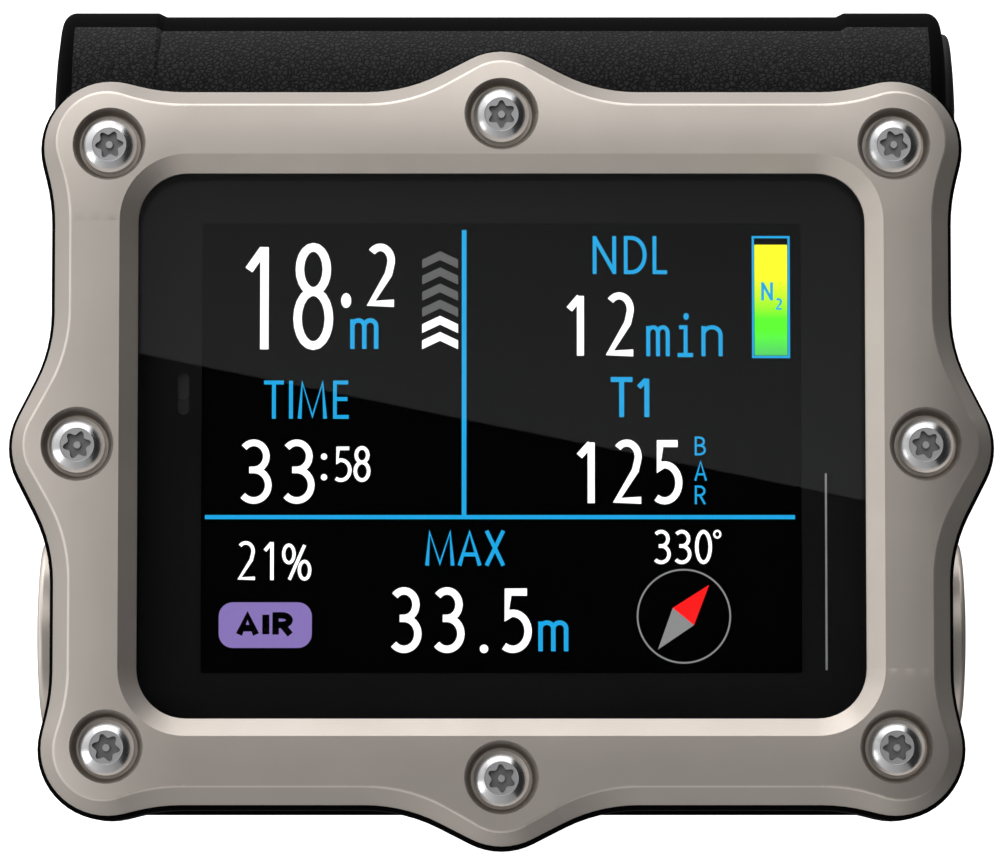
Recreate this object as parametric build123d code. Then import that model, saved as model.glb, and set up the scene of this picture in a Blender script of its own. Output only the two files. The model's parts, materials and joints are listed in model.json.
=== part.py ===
"""Wrist dive computer with a scalloped titanium bezel, in millimetres.

It lies on its back: +Z out of the screen, +X to the wearer's right, +Y towards the battery barrel.
The origin is the middle of the box at the plane that the strap cradle rests on.
"""
from build123d import *
import math
import os

# Driving dimensions.
TOTAL_HEIGHT = 38.0
BEZEL_Y = -2.75            # middle of the window along Y
LOBE_RADIUS = 5.7          # bezel lobe round each screw
FLAT_X, FLAT_Y = 38.12, 30.45   # half sizes across the bezel's flats
SIDE_SCREW_X, TOP_SCREW_Y = 36.0, 28.25
CORNER_SCREW_X, CORNER_SCREW_Y = 33.4, 25.65
HOUSING_RIM, RIM_DROP = 0.3, 0.1   # housing proud of the bezel, and a little more so at the foot
CRADLE_TOP = 9.0
FLOOR_TOP = 11.0
FLANGE_BOTTOM = 28.3
LEDGE_Z = 33.0
FLANGE_TOP = 34.0
BODY_HALF_X, BODY_FRONT, BODY_BACK = 37.3, -33.95, 20.0
DRAFT_ANGLE = 3.0
BARREL_Y, BARREL_Z = 26.55, 17.6
BARREL_RADIUS, BARREL_END, END_DOME = 10.1, 39.35, 0.95
PAD_START, PAD_RAMP, PAD_RAISE = 29.4, 0.8, 0.35   # raised pads at the barrel's ends, on its outer side
BORE_RADIUS = 7.5
CAP_THREAD_RADIUS = 8.0
BUTTON_Y, BUTTON_Z = -18.1, 19.0
BUTTON_RADIUS = 8.2
CELL_RADIUS, CELL_LENGTH = 7.25, 50.5
CELL_TIP_X = -25.2         # the cell's positive tip
WINDOW_X, WINDOW_Y = 65.4, 50.0
ACTIVE_X, ACTIVE_Y = 50.8, 38.1
ARM_RADIUS, ARM_PEAK, ARM_Y = 42.0, 6.0, -5.5

BASE = (Align.CENTER, Align.CENTER, Align.MIN)


# Shared shapes.
def disc(radius, z_low, z_high, x=0.0, y=0.0):
    """Upright cylinder between two heights."""
    return Pos(x, y, z_low) * Cylinder(radius, z_high - z_low, align=BASE)


def rod(radius, x_low, x_high, y, z):
    """Cylinder lying along X."""
    return Pos(x_low, y, z) * Rot(0, 90, 0) * Cylinder(radius, x_high - x_low, align=BASE)


def block(x_low, x_high, y_low, y_high, z_low, z_high):
    """Box between two corners."""
    middle = Pos((x_low + x_high) / 2, (y_low + y_high) / 2, z_low)
    return middle * Box(x_high - x_low, y_high - y_low, z_high - z_low, align=BASE)


def slab(width, height, corner, z_low, z_high, y=BEZEL_Y):
    """Plate with rounded corners, level, centred on the window."""
    outline = RectangleRounded(width, height, corner)
    return Pos(0, y, z_low) * extrude(outline, amount=z_high - z_low)


def cone(low_radius, high_radius, z_low, z_high, x=0.0, y=0.0):
    """Upright frustum."""
    return Pos(x, y, z_low) * Cone(low_radius, high_radius, z_high - z_low, align=BASE)


def domed_rod(radius, x_low, x_high, dome, rim, y, z):
    """Rod along X whose far end bulges by dome inside a rounded rim."""
    shoulder = x_high - dome
    dome_radius = (radius ** 2 + dome ** 2) / (2 * dome)
    middle = x_high - dome_radius + math.sqrt(dome_radius ** 2 - radius ** 2 / 4)
    outline = Polyline((x_high, 0), (x_low, 0), (x_low, radius), (shoulder, radius))
    outline += ThreePointArc((shoulder, radius), (middle, radius / 2), (x_high, 0))
    profile = make_face(outline)
    corner = profile.vertices().filter_by(lambda point: point.X > x_low and point.Y > radius / 2)
    return Pos(0, y, z) * revolve(fillet(corner, rim), Axis.X)


def coil(radius, height, turns, wire_radius):
    """Open helical spring standing on the origin, its ends cut square."""
    path = Helix(pitch=height / turns, height=height, radius=radius)
    section = Plane(origin=path @ 0, z_dir=path % 0) * Circle(wire_radius)
    return sweep(section, path=path, is_frenet=True)


def both_sides(make_right):
    """The right-hand piece and its mirror image on the left."""
    right = make_right()
    return mirror(right, about=Plane.YZ), right


def group(solids):
    """Separate solids that share one node."""
    return Compound(children=list(solids))


# Bezel.
MID_FLANK, CORNER_FLANK = 27.0, 14.0   # lobe flank slopes from the flats, degrees
MID_BLEND_TOP, MID_BLEND_SIDE, CORNER_BLEND = 14.0, 13.0, 16.0
FLANK_INSET, FLANK_LOW, FLANK_HIGH = 1.79, 34.4, 38.4
CROWN_RADIUS = 32.0
RIDGE_FILLET, RIDGE_LOW = 0.3, 36.3
CROWN_FLAT_X, CROWN_FLAT_Y, CROWN_FLAT_CORNER = 64.8, 49.4, 5.7
OPENING_X, OPENING_Y, OPENING_CORNER = 61.8, 46.4, 4.2
SCREW_SEAT_Z, SEAT_RADIUS, SEAT_MOUTH = 35.3, 2.6, 3.2


def scalloped_outline(grow):
    """Face of the eight-lobed outline, moved outwards by grow."""
    radius = LOBE_RADIUS + grow
    flat_x, flat_y = FLAT_X + grow, FLAT_Y + grow
    mid, corner = math.radians(MID_FLANK), math.radians(CORNER_FLANK)
    apex_x = SIDE_SCREW_X + radius / math.cos(mid)
    apex_y = TOP_SCREW_Y + radius / math.cos(mid)
    side_foot = (apex_x - flat_x) / math.tan(mid)
    top_foot = (apex_y - flat_y) / math.tan(mid)
    reach = radius / (math.cos(corner) - math.sin(corner))
    drop_x = (radius - math.cos(corner) * (flat_x - CORNER_SCREW_X)) / math.sin(corner)
    drop_y = (radius - math.cos(corner) * (flat_y - CORNER_SCREW_Y)) / math.sin(corner)
    side_blend, top_blend = MID_BLEND_SIDE - grow, MID_BLEND_TOP - grow
    corner_blend = CORNER_BLEND - grow
    quarter = [
        ((flat_x, side_foot), side_blend),
        ((flat_x, CORNER_SCREW_Y - drop_x), corner_blend),
        ((CORNER_SCREW_X + reach, CORNER_SCREW_Y + reach), radius),
        ((CORNER_SCREW_X - drop_y, flat_y), corner_blend),
        ((top_foot, flat_y), top_blend),
    ]
    points, radii = [], []
    for sign_x, sign_y, apex in ((1, 1, (apex_x, 0)), (-1, 1, (0, apex_y)),
                                 (-1, -1, (-apex_x, 0)), (1, -1, (0, -apex_y))):
        points.append(apex)
        radii.append(radius)
        ordered = quarter if sign_x == sign_y else quarter[::-1]
        for (x, y), blend in ordered:
            points.append((sign_x * x, sign_y * y))
            radii.append(blend)
    return make_face(FilletPolyline(*points, radius=radii, close=True))


def bezel_screw_places():
    """Centres of the eight bezel screws, anticlockwise from the right."""
    right, top = (SIDE_SCREW_X, 0.0), (0.0, TOP_SCREW_Y)
    corner = (CORNER_SCREW_X, CORNER_SCREW_Y)
    places = [right, corner, top, (-corner[0], corner[1])]
    places += [(-x, -y) for x, y in places]
    return [(x, y + BEZEL_Y) for x, y in places]


def on_ridge(edge):
    """True for the curved edges where the crowned face meets the flank."""
    middle = edge.center()
    beyond = max(abs(middle.X) - CROWN_FLAT_X / 2, abs(middle.Y - BEZEL_Y) - CROWN_FLAT_Y / 2)
    return edge.geom_type == GeomType.BSPLINE and middle.Z > RIDGE_LOW and beyond > 2.0


def bezel():
    """Titanium ring: drafted flank, crowned face, bevelled window opening and eight screw seats."""
    skirt = Pos(0, BEZEL_Y, FLANGE_TOP) * extrude(scalloped_outline(0), amount=FLANK_LOW - FLANGE_TOP)
    flank = loft([Pos(0, BEZEL_Y, FLANK_LOW) * scalloped_outline(0),
                  Pos(0, BEZEL_Y, FLANK_HIGH) * scalloped_outline(-FLANK_INSET)], ruled=True)
    dome = slab(CROWN_FLAT_X + 2 * CROWN_RADIUS, CROWN_FLAT_Y + 2 * CROWN_RADIUS,
                CROWN_FLAT_CORNER + CROWN_RADIUS, TOTAL_HEIGHT - CROWN_RADIUS - 2, TOTAL_HEIGHT)
    dome = fillet(dome.faces().sort_by(Axis.Z)[-1].edges(), CROWN_RADIUS)
    ring = (skirt + flank) & dome
    ring = fillet(ring.edges().filter_by(on_ridge), RIDGE_FILLET)
    ring -= slab(OPENING_X, OPENING_Y, OPENING_CORNER, FLANGE_TOP, TOTAL_HEIGHT)
    bevel = Pos(0, BEZEL_Y, TOTAL_HEIGHT) * extrude(
        RectangleRounded(CROWN_FLAT_X, CROWN_FLAT_Y, CROWN_FLAT_CORNER), amount=-1.5, taper=45)
    ring -= bevel
    ring -= slab(WINDOW_X + 0.2, WINDOW_Y + 0.2, 6.1, FLANGE_TOP, 36.0)
    for x, y in bezel_screw_places():
        ring -= cone(SEAT_RADIUS, SEAT_MOUTH, SCREW_SEAT_Z, TOTAL_HEIGHT, x, y)
        ring -= disc(1.35, FLANGE_TOP, SCREW_SEAT_Z, x, y)
    return ring


def star_prism(outer, inner, depth):
    """Six-pointed rounded driver recess, cut downwards from the origin."""
    points = []
    for step in range(12):
        reach = outer if step % 2 == 0 else inner
        angle = math.radians(30 * step)
        points.append((reach * math.cos(angle), reach * math.sin(angle)))
    return extrude(make_face(FilletPolyline(*points, radius=0.2, close=True)), amount=-depth)


def bezel_screws():
    """Eight M2.5 button-head screws with a pinned six-lobe recess."""
    head_radius, flat_radius, tip_z = 2.35, 1.45, 29.5
    low, top = SCREW_SEAT_Z + 0.2, SCREW_SEAT_Z + 1.5
    drop = (head_radius ** 2 - flat_radius ** 2 - (top - low) ** 2) / (2 * (top - low))
    dome_radius = math.hypot(head_radius, drop)
    halfway = (math.asin(head_radius / dome_radius) + math.asin(flat_radius / dome_radius)) / 2
    middle = (dome_radius * math.sin(halfway), low - drop + dome_radius * math.cos(halfway))
    outline = Polyline((flat_radius, top), (0, top), (0, SCREW_SEAT_Z), (head_radius, SCREW_SEAT_Z),
                       (head_radius, low))
    outline += ThreePointArc((head_radius, low), middle, (flat_radius, top))
    head = revolve(Plane.XZ * make_face(outline), Axis.Z)
    head -= disc(1.38, top - 0.08, top)
    recess = Pos(0, 0, top) * star_prism(1.3, 0.82, 1.0)
    pin = disc(0.315, top - 1.0, top - 0.2)
    shank = disc(1.25, tip_z + 0.4, SCREW_SEAT_Z) + cone(0.85, 1.25, tip_z, tip_z + 0.4)
    screw = head - recess + pin + shank
    turned = [Pos(x, y, 0) * Rot(0, 0, 47 * n) * screw
              for n, (x, y) in enumerate(bezel_screw_places())]
    return group(turned)


def bezel_inserts():
    """Eight brass inserts moulded into the housing flange."""
    barrel = disc(1.8, 30.0, 33.8) - disc(1.3, 30.0, 33.8)
    barrel -= disc(2.2, 31.7, 32.1) - disc(1.6, 31.7, 32.1)
    return group(Pos(x, y, 0) * barrel for x, y in bezel_screw_places())


# Window.
SENSOR_SLOT_X, SENSOR_SLOT_Y = -27.15, 4.6 + BEZEL_Y
SEAL_X, SEAL_Y, SEAL_CORNER = 61.6, 46.9, 4.4   # centre line of the window gasket
SEAL_GROOVE, GROOVE_FLOOR = 1.5, 31.7


def window():
    """Flat glass with chamfered edges, clamped by the bezel rebate."""
    glass = slab(WINDOW_X, WINDOW_Y, 6.0, LEDGE_Z + 0.1, 36.0)
    return chamfer(glass.faces().sort_by(Axis.Z)[-1].edges(), 0.3)


def window_mask():
    """Black printed film behind the glass, open over the display and the light sensor."""
    film = slab(WINDOW_X - 0.4, WINDOW_Y - 0.4, 5.8, LEDGE_Z, LEDGE_Z + 0.1)
    film -= slab(ACTIVE_X + 0.4, ACTIVE_Y + 0.4, 0.3, LEDGE_Z, LEDGE_Z + 0.1)
    slot = Pos(SENSOR_SLOT_X, SENSOR_SLOT_Y, LEDGE_Z) * Rot(0, 0, 90)
    return film - slot * extrude(SlotOverall(3.6, 0.98), amount=0.1)


def window_seal():
    """Round-section gasket in the groove under the glass."""
    loop = Pos(0, BEZEL_Y, 32.35) * RectangleRounded(SEAL_X, SEAL_Y, SEAL_CORNER).wire()
    start = Plane(origin=loop @ 0, z_dir=loop % 0)
    return sweep(start * Circle(0.6), path=loop)


# Housing.
POSTS = [(x, y) for x in (-24.0, 24.0) for y in (-21.3, 14.2)]
CRADLE_SCREWS = [(0.0, -27.0), (0.0, 15.5), (-31.5, ARM_Y), (31.5, ARM_Y)]
CAVITY_X, CAVITY_LOW_Y, CAVITY_HIGH_Y = 33.5, -29.5, 16.0
DISPLAY_CAVITY_X, DISPLAY_CAVITY_Y = 58.4, 44.2
BOSS_RADIUS, BOSS_FACE = 9.1, 38.6
POCKET_RADIUS, POCKET_FACE = 8.4, 37.3
SLEEVE_RADIUS = 4.0
RING_RADIUS, RING_LOW, RING_HIGH = 9.0, 29.0, 35.5   # thread ring in the barrel mouth
MOUTH_RADIUS = 8.3


def barrel_rod(radius, x_low, x_high):
    """Cylinder on the battery barrel's axis."""
    return rod(radius, x_low, x_high, BARREL_Y, BARREL_Z)


def domed_barrel(radius):
    """Battery barrel whose end faces bulge slightly, with rounded rims."""
    half = domed_rod(radius, 0.0, BARREL_END, END_DOME, 1.2, BARREL_Y, BARREL_Z)
    return half + mirror(half, about=Plane.YZ)


def end_pad():
    """Raised pad at the right end of the barrel, on its outer side, with a sloped inner edge."""
    middle = BARREL_Y + PAD_RAISE
    pad = Pos(PAD_START, middle, BARREL_Z) * Rot(0, 90, 0) * Cone(
        BARREL_RADIUS - PAD_RAISE - 0.05, BARREL_RADIUS, PAD_RAMP, align=BASE)
    pad += domed_rod(BARREL_RADIUS, PAD_START + PAD_RAMP, BARREL_END, END_DOME, 1.2, middle, BARREL_Z)
    return pad & block(PAD_START, 40.0, BARREL_Y + 0.85, 40.0, 0.0, TOTAL_HEIGHT)


def housing_outside():
    """Flange, drafted body, battery barrel with end pads, and the two button bosses."""
    flange = Pos(0, BEZEL_Y - RIM_DROP, FLANGE_BOTTOM) * extrude(
        scalloped_outline(HOUSING_RIM), amount=FLANGE_TOP - FLANGE_BOTTOM)
    plan = Pos(0, (BODY_FRONT + BODY_BACK) / 2, FLANGE_BOTTOM) * RectangleRounded(
        2 * BODY_HALF_X, BODY_BACK - BODY_FRONT, 6.0)
    body = extrude(plan, amount=CRADLE_TOP - FLANGE_BOTTOM, taper=DRAFT_ANGLE)
    body = fillet(body.faces().sort_by(Axis.Z)[0].edges(), 1.0)
    web = block(-BODY_HALF_X + 0.6, BODY_HALF_X - 0.6, 10.0, BARREL_Y, BARREL_Z, FLANGE_BOTTOM)
    barrel = domed_barrel(BARREL_RADIUS)
    for pad in both_sides(end_pad):
        barrel += pad
    shell = flange + body + web + barrel
    for side in (-1, 1):
        low, high = sorted((side * 30.0, side * BOSS_FACE))
        boss = rod(BOSS_RADIUS, low, high, BUTTON_Y, BUTTON_Z)
        rim = boss.edges().filter_by(lambda edge: abs(edge.center().X) > BOSS_FACE - 0.1)
        shell += fillet(rim, 0.5)
    return shell


def main_housing():
    """Black moulded case that carries the window, the boards, the buttons and the battery barrel."""
    shell = housing_outside()
    shell -= slab(WINDOW_X + 0.2, WINDOW_Y + 0.2, 6.1, LEDGE_Z, FLANGE_TOP)
    shell -= slab(DISPLAY_CAVITY_X, DISPLAY_CAVITY_Y, 3.0, 26.0, LEDGE_Z)
    outer_x, outer_y = SEAL_X + SEAL_GROOVE, SEAL_Y + SEAL_GROOVE
    inner_x, inner_y = SEAL_X - SEAL_GROOVE, SEAL_Y - SEAL_GROOVE
    shell -= slab(outer_x, outer_y, SEAL_CORNER + SEAL_GROOVE / 2, GROOVE_FLOOR, LEDGE_Z) - slab(
        inner_x, inner_y, SEAL_CORNER - SEAL_GROOVE / 2, GROOVE_FLOOR, LEDGE_Z)
    hollow = block(-CAVITY_X, CAVITY_X, CAVITY_LOW_Y, CAVITY_HIGH_Y, FLOOR_TOP, 26.0)
    hollow = fillet(hollow.edges().filter_by(Axis.Z), 3.0)
    hollow -= barrel_rod(BORE_RADIUS + 1.8, -CAVITY_X, CAVITY_X)
    for x, y in POSTS:
        hollow -= disc(2.4, FLOOR_TOP, 26.0, x, y)
    for x, y in CRADLE_SCREWS:
        hollow -= disc(3.4, FLOOR_TOP, 16.0, x, y)
    hollow -= disc(8.4, FLOOR_TOP, 15.4, 0, ARM_Y) - disc(6.6, FLOOR_TOP, 15.4, 0, ARM_Y)
    for side in (-1, 1):
        for y in (-24.2, -12.8):
            low, high = sorted((side * 26.8, side * 29.4))
            rail = block(low, high, y, y + 1.6, FLOOR_TOP, 18.0)
            slot_low, slot_high = sorted((side * 27.55, side * 28.65))
            hollow -= rail - block(slot_low, slot_high, -22.9, -12.5, FLOOR_TOP, 18.0)
    shell -= hollow
    for x, y in POSTS:
        shell += disc(2.4, 25.9, 28.0, x, y)
        shell -= disc(1.05, 21.5, 28.0, x, y)
    for x, y in bezel_screw_places():
        shell -= disc(1.8, 30.0, FLANGE_TOP, x, y) + disc(1.35, 29.4, 30.0, x, y)
    for x, y in CRADLE_SCREWS:
        shell -= disc(2.1, CRADLE_TOP, 14.0, x, y) + disc(1.55, 14.0, 15.0, x, y)
    shell -= disc(4.0, CRADLE_TOP, FLOOR_TOP, 0, ARM_Y)
    for side in (-1, 1):
        steps = ((POCKET_RADIUS, POCKET_FACE, BOSS_FACE), (SLEEVE_RADIUS, 33.0, POCKET_FACE))
        for radius, inner, outer in steps:
            low, high = sorted((side * inner, side * outer))
            shell -= rod(radius, low, high, BUTTON_Y, BUTTON_Z)
    shell -= barrel_rod(BORE_RADIUS, -35.0, RING_LOW)
    shell -= barrel_rod(RING_RADIUS, RING_LOW, RING_HIGH)
    shell -= barrel_rod(MOUTH_RADIUS, RING_HIGH, BARREL_END)
    shell -= barrel_rod(CAP_RADIUS + 0.1, CAP_SEAT, BARREL_END)
    shell -= block(-32.2, -28.2, 13.0, 20.0, 15.9, 19.3)
    return shell


# Strap cradle.
CRADLE_X, CRADLE_LOW_Y, CRADLE_HIGH_Y = 36.0, -31.0, 20.0
STRAP_LOW_X, STRAP_HIGH_X, STRAP_LOW_Z, STRAP_HIGH_Z = 5.0, 27.0, 2.0, 6.6
BUNGEE_X, BUNGEE_Z, BUNGEE_RADIUS = 31.5, 4.3, 2.1
HEAD_RADIUS, HEAD_HEIGHT = 2.9, 1.65


def cradle_head_z(x):
    """Height of a cradle screw's head: low at the two ends, higher in the side rails."""
    return 3.0 if x == 0.0 else 6.6


def strap_cradle():
    """Rear plate, hollowed for the forearm, with two rails that the straps and bungees thread through."""
    plan = Pos(0, (CRADLE_LOW_Y + CRADLE_HIGH_Y) / 2) * RectangleRounded(
        2 * CRADLE_X, CRADLE_HIGH_Y - CRADLE_LOW_Y, 2.4)
    plate = extrude(plan, amount=CRADLE_TOP)
    plate = chamfer(plate.faces().sort_by(Axis.Z)[0].edges(), 0.6)
    plate -= rod(ARM_RADIUS, -40.0, 40.0, ARM_Y, ARM_PEAK - ARM_RADIUS)
    plate -= barrel_rod(BARREL_RADIUS + PAD_RAISE + 0.4, -40.0, 40.0)
    for side in (-1, 1):
        low, high = sorted((side * STRAP_LOW_X, side * STRAP_HIGH_X))
        channel = block(low, high, -40.0, 30.0, STRAP_LOW_Z, STRAP_HIGH_Z)
        plate -= fillet(channel.edges().filter_by(Axis.Y), 0.8)
        hole = Rot(-90, 0, 0) * Cylinder(BUNGEE_RADIUS, 70.0, align=BASE)
        plate -= Pos(side * BUNGEE_X, -40.0, BUNGEE_Z) * hole
    for x, y in CRADLE_SCREWS:
        seat = cradle_head_z(x)
        plate -= disc(HEAD_RADIUS + 0.1, 0.0, seat, x, y)
        plate -= cone(HEAD_RADIUS + 0.1, 1.6, seat, seat + HEAD_HEIGHT, x, y)
        plate -= disc(1.6, seat, CRADLE_TOP, x, y)
    plate -= disc(3.6, 0.0, CRADLE_TOP, 0, ARM_Y)
    plate -= disc(4.5, 8.2, CRADLE_TOP, 0, ARM_Y)
    return plate


def cradle_screws():
    """Four M3 countersunk screws from the arm side."""
    screws = []
    for x, y in CRADLE_SCREWS:
        seat = cradle_head_z(x)
        screw = cone(HEAD_RADIUS, 1.5, seat, seat + HEAD_HEIGHT - 0.15, x, y)
        screw += disc(1.5, seat + HEAD_HEIGHT - 0.2, 13.6, x, y)
        screw -= Pos(x, y, seat + 1.0) * star_prism(1.45, 0.95, 1.0)
        screws.append(screw)
    return group(screws)


def cradle_inserts():
    """Four brass M3 inserts in the housing floor."""
    insert = disc(2.1, 9.2, 14.0) - disc(1.55, 9.2, 14.0)
    return group(Pos(x, y, 0) * insert for x, y in CRADLE_SCREWS)


# Depth sensor.
def sensor_guard():
    """Perforated stainless disc that lets water through to the sensor."""
    plate = disc(4.4, 8.3, 8.9, 0, ARM_Y)
    for ring_radius, count in ((0.0, 1), (1.25, 6), (2.45, 12)):
        for n in range(count):
            angle = 2 * math.pi * n / count
            x, y = ring_radius * math.cos(angle), ring_radius * math.sin(angle)
            plate -= disc(0.4, 8.3, 8.9, x, ARM_Y + y)
    return plate


def pressure_sensor():
    """Stainless sensor capsule with its flange inside the floor."""
    capsule = disc(3.9, 9.3, 11.9, 0, ARM_Y) + disc(5.5, 11.9, 13.6, 0, ARM_Y)
    return capsule - disc(2.9, 9.3, 9.7, 0, ARM_Y)


def sensor_seal():
    """O-ring between the sensor flange and the floor."""
    return Pos(0, ARM_Y, 11.45) * Torus(4.6, 0.44)


def sensor_retainer():
    """Ring nut that holds the sensor down."""
    ring = disc(6.55, 13.6, 15.2, 0, ARM_Y) - disc(4.0, 13.6, 15.2, 0, ARM_Y)
    for side in (-1, 1):
        ring -= disc(0.6, 14.2, 15.2, side * 5.3, ARM_Y)
    return ring


# Buttons, drawn on the right-hand side.
BUTTON_BACK, BUTTON_FACE, BUTTON_DOME = 38.2, 40.42, 0.45
STEM_RADIUS, STEM_END = 2.5, 31.5
SPRING_SEAT = 39.4
CLIP_FACE = 32.9


def button_rod(radius, x_low, x_high):
    """Cylinder on the right-hand button's axis."""
    return rod(radius, x_low, x_high, BUTTON_Y, BUTTON_Z)


def button():
    """Domed titanium push button with a sealed stem and a recess for its return spring."""
    head = domed_rod(BUTTON_RADIUS, BUTTON_BACK, BUTTON_FACE, BUTTON_DOME, 0.45, BUTTON_Y, BUTTON_Z)
    head -= button_rod(6.6, BUTTON_BACK, SPRING_SEAT) - button_rod(3.4, BUTTON_BACK, SPRING_SEAT)
    stem = button_rod(STEM_RADIUS, STEM_END, BUTTON_BACK)
    stem -= button_rod(STEM_RADIUS, 32.25, 32.95) - button_rod(1.9, 32.25, 32.95)
    for groove in (34.2, 35.8):
        stem -= button_rod(STEM_RADIUS, groove, groove + 0.8) - button_rod(1.95, groove, groove + 0.8)
    return head + stem


def button_sleeve():
    """Steel guide bush pressed into the side wall."""
    bush = button_rod(SLEEVE_RADIUS, 33.4, POCKET_FACE) + button_rod(5.2, CLIP_FACE, 33.5)
    return bush - button_rod(STEM_RADIUS + 0.05, CLIP_FACE, POCKET_FACE)


def button_seals():
    """Two O-rings on the stem."""
    ring = Rot(0, 90, 0) * Torus(2.24, 0.28)
    return group(Pos(x, BUTTON_Y, BUTTON_Z) * ring for x in (34.6, 36.2))


def button_clip():
    """E-clip that stops the button coming out."""
    ring = button_rod(3.9, CLIP_FACE - 0.6, CLIP_FACE) - button_rod(1.95, CLIP_FACE - 0.6, CLIP_FACE)
    return ring - block(32.0, 33.2, BUTTON_Y - 1.2, BUTTON_Y + 1.2, BUTTON_Z - 5, BUTTON_Z)


def button_spring():
    """Return spring between the housing pocket and the button."""
    wire = 0.17
    height = SPRING_SEAT - POCKET_FACE - 2 * wire - 0.04
    turned = Rot(0, 90, 0) * coil(5.0, height, 2.5, wire)
    return Pos(POCKET_FACE + wire + 0.02, BUTTON_Y, BUTTON_Z) * turned


def switch_board():
    """Small upright board that carries the button's switch."""
    return block(27.6, 28.6, -22.8, -12.6, FLOOR_TOP, 25.0)


def button_switch():
    """Side-facing tact switch with a short plunger."""
    case = block(28.6, 30.0, BUTTON_Y - 2.6, BUTTON_Y + 2.6, BUTTON_Z - 2.6, BUTTON_Z + 2.6)
    case = chamfer(case.edges().filter_by(Axis.X), 0.5)
    return case + button_rod(1.3, 30.0, 30.6)


# Battery.
CAP_RADIUS, CAP_SEAT, CAP_FACE, CAP_DOME = 8.6, 38.35, 39.9, 0.6
CAP_INNER = 29.6


def battery_cap():
    """Screw cap with a coin slot, a seal groove and a threaded plug."""
    flange = domed_rod(CAP_RADIUS, CAP_SEAT, CAP_FACE, CAP_DOME, 0.5, BARREL_Y, BARREL_Z)
    plug = barrel_rod(MOUTH_RADIUS - 0.12, RING_HIGH + 0.1, CAP_SEAT)
    plug -= barrel_rod(8.5, 36.1, 37.7) - barrel_rod(7.0, 36.1, 37.7)
    thread = barrel_rod(CAP_THREAD_RADIUS, CAP_INNER + 0.6, RING_HIGH - 0.5)
    relief = barrel_rod(7.2, CAP_INNER, RING_HIGH + 0.1)
    slot = block(CAP_FACE - 1.5, CAP_FACE, BARREL_Y - 1.1, BARREL_Y + 1.1, BARREL_Z - 6.5, BARREL_Z + 6.5)
    return flange + plug + thread + relief - slot - barrel_rod(4.6, CAP_INNER, CAP_INNER + 1.2)


def cap_seal():
    """O-ring round the cap's plug."""
    return Pos(36.9, BARREL_Y, BARREL_Z) * Rot(0, 90, 0) * Torus(7.62, 0.6)


def cap_contact_spring():
    """Coil spring in the cap that presses on the cell's flat end."""
    wire = 0.3
    cell_end = CELL_TIP_X + CELL_LENGTH
    height = CAP_INNER + 1.2 - cell_end - 2 * wire - 0.1
    turned = Rot(0, -90, 0) * coil(3.6, height, 3.5, wire)
    return Pos(CAP_INNER + 1.2 - wire - 0.05, BARREL_Y, BARREL_Z) * turned


def thread_ring():
    """Threaded metal ring moulded into the barrel mouth."""
    ring = barrel_rod(RING_RADIUS, RING_LOW, RING_HIGH)
    return ring - barrel_rod(CAP_THREAD_RADIUS + 0.06, RING_LOW, RING_HIGH)


def battery_cell():
    """AA cell with its tip towards the contact carrier."""
    shoulder = CELL_TIP_X + 1.2
    can = barrel_rod(CELL_RADIUS, shoulder, CELL_TIP_X + CELL_LENGTH)
    can = chamfer(can.edges().filter_by(GeomType.CIRCLE), 0.4)
    return can + barrel_rod(2.7, CELL_TIP_X, shoulder)


def contact_carrier():
    """Plastic plug at the blind end of the barrel, with a notch for the leads."""
    plug = barrel_rod(BORE_RADIUS - 0.1, -34.9, -26.2)
    plug -= block(-32.4, -28.0, 18.0, 20.9, 15.4, 19.8)
    return plug - barrel_rod(3.6, -26.8, -26.2)


def battery_contact():
    """Nickel-plated contact that meets the cell's tip."""
    return barrel_rod(3.5, -26.8, -26.2) + barrel_rod(1.6, -26.2, CELL_TIP_X)


def battery_leads():
    """Two insulated leads from the carrier to the main board."""
    leads = []
    for offset in (-0.85, 0.85):
        x = -30.2 + offset
        path = FilletPolyline((x, 20.7, 17.6), (x, 11.5, 17.6), (x + 8.0, 5.0, 19.0), (x + 9.0, 4.0, 25.3),
                              radius=[2.5, 2.5])
        section = Plane(origin=path @ 0, z_dir=path % 0) * Circle(0.5)
        leads.append(sweep(section, path=path))
    return group(leads)


# Display and boards.
BOARD_LOW, BOARD_HIGH = 25.4, 26.6
CHASSIS_LOW, CHASSIS_HIGH = 28.0, 30.4
BOARD_SCREWS = [(x, y) for x in (-14.0, 14.0) for y in (-20.5, 12.5)]


def display_panel():
    """Liquid crystal cell with its driver ledge."""
    return slab(52.4, 43.0, 0.6, 31.7, 32.8)


def display_backlight():
    """Backlight tray behind the display."""
    return slab(52.4, 43.0, 0.6, CHASSIS_HIGH + 0.1, 31.6)


def chassis():
    """Moulded frame that locates the display above the main board."""
    frame = slab(57.8, 43.6, 2.6, CHASSIS_LOW, 32.6) - slab(52.8, 43.4, 0.8, CHASSIS_HIGH, 32.6)
    frame -= block(-28.2, -26.3, -1.2, 4.9, 31.1, 32.6)
    for low, high in ((-19.5, -1.5), (1.5, 19.5)):
        frame -= block(low, high, -17.0, 10.0, CHASSIS_LOW, CHASSIS_HIGH)
    frame -= block(-8.5, 8.5, -26.0, -23.4, CHASSIS_LOW, 32.6)
    for x, y in BOARD_SCREWS:
        frame += disc(1.7, BOARD_HIGH, CHASSIS_LOW, x, y)
        frame -= disc(0.8, BOARD_HIGH, 29.6, x, y)
    for x, y in POSTS:
        frame -= disc(1.1, CHASSIS_LOW, CHASSIS_HIGH, x, y) + disc(2.0, 29.3, CHASSIS_HIGH, x, y)
    return frame


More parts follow.
